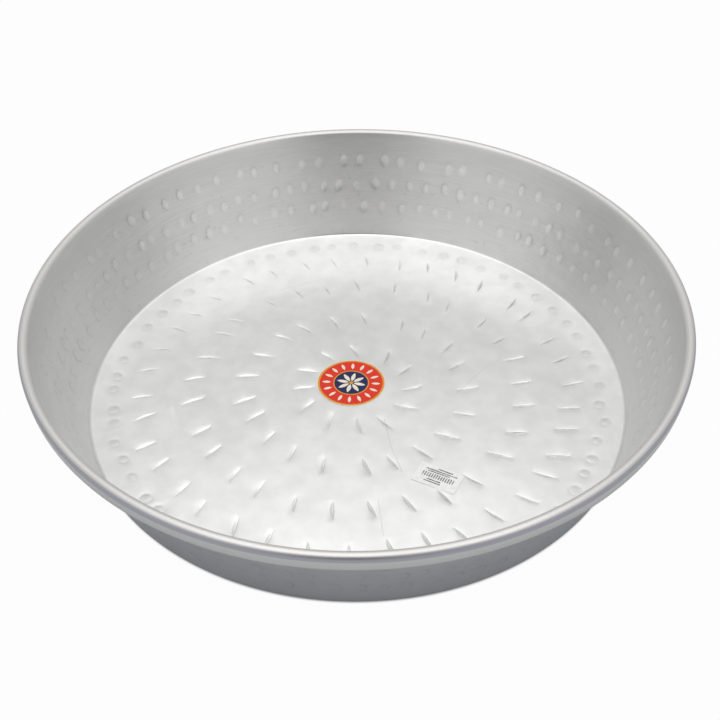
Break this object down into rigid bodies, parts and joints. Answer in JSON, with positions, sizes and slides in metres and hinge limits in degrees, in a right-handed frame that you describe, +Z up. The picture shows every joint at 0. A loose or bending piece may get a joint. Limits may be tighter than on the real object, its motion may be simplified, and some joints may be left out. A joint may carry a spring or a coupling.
{
  "type": "dough kneading plate",
  "caption": "Round aluminium kneading plate with a flat punched floor, a flared wall and a rim rolled around a wire, with two paper labels on the floor.",
  "frame": {"origin": "on the axis of the plate, at the level of its underside", "axes": "+Z up along the axis of the plate, -Y towards the side from which the picture looks"},
  "size_m": [0.46, 0.46, 0.084],
  "materials": {
    "aluminium_sheet": "satin, with faint turning lines and punched marks",
    "steel_wire": "bright drawn wire",
    "printed_label": "glossy printed sticker in red, navy and gold",
    "paper_label": "matt white label with plain grey bars"
  },
  "bodies": {
    "root": {"plate": "aluminium_sheet", "rim_wire": "steel_wire", "round_label": "printed_label", "price_label": "paper_label"}
  },
  "joints": []
}
